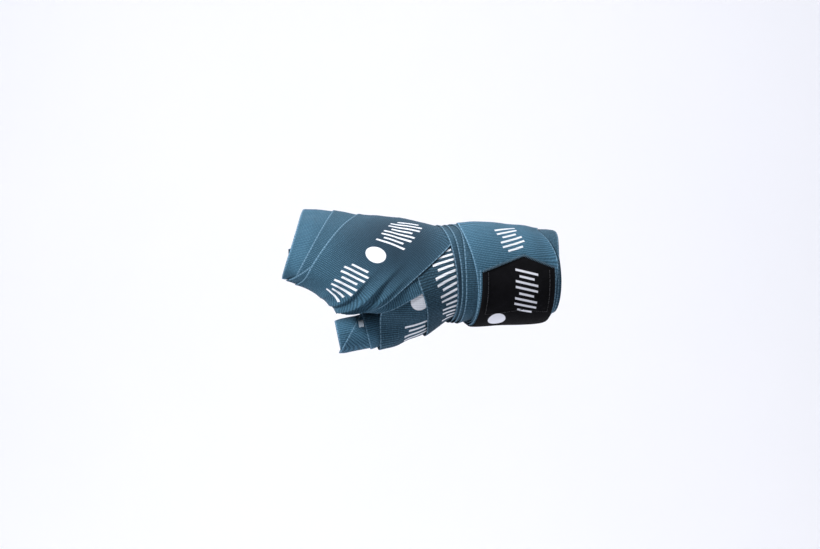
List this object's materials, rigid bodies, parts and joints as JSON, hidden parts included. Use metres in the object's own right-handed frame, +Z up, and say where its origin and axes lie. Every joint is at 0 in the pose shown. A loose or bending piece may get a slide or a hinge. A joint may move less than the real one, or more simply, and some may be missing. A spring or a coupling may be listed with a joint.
{
  "type": "boxing hand wrap",
  "caption": "Elastic boxing hand wrap as worn: overlapping turns round knuckles, thumb, heel of the hand and wrist, closed by a hook-and-loop tab.",
  "frame": {"origin": "on the forearm's axis, level with the near edge of the forearm opening", "axes": "+X up the arm as seen from the side, +Z up, -Y faces the back of the hand; the forearm axis leans 16 degrees from +X towards +Y"},
  "size_m": [0.1748, 0.0749, 0.0884],
  "materials": {
    "strip": "ribbed elastic weave, slate blue",
    "inner_strip": "ribbed elastic weave in shadow, slate blue",
    "loop_pile": "short black loop pile",
    "hook": "moulded hook tape, black",
    "thread": "pale blue sewing thread"
  },
  "bodies": {
    "wrap": {"inner_palm_turns": "inner_strip", "inner_wrist_turns": "inner_strip", "knuckle_turn_1": "strip", "knuckle_turn_2": "strip", "heel_turn": "strip", "cross_turn": "strip", "web_pass_1": "strip", "web_pass_2": "strip", "wrist_turn_1": "strip", "wrist_turn_2": "strip", "wrist_turn_3": "strip", "wrist_turn_4": "strip", "wrist_turn_5": "strip", "thumb_loop": "inner_strip", "thumb_turn_1": "strip", "thumb_turn_2": "strip", "thumb_turn_3": "strip", "finger_pass_1": "strip", "finger_pass_2": "strip", "finger_pass_3": "strip", "loop_landing": "loop_pile", "closing_tail": "strip", "tail_loop_face": "loop_pile", "thumb_loop_tack": "thread"},
    "closure_flap": {"hook_panel": "hook", "flap_strip_end": "strip", "flap_loop_face": "loop_pile", "overlock_edge": "thread", "panel_stitching": "thread"}
  },
  "joints": [
    {"name": "closure_peel", "type": "hinge", "parent": "wrap", "child": "closure_flap", "pos_m": [-0.02467, -0.03327, -0.02663], "axis": [0.96, 0.28, 0], "range_deg": [0, 110]}
  ]
}
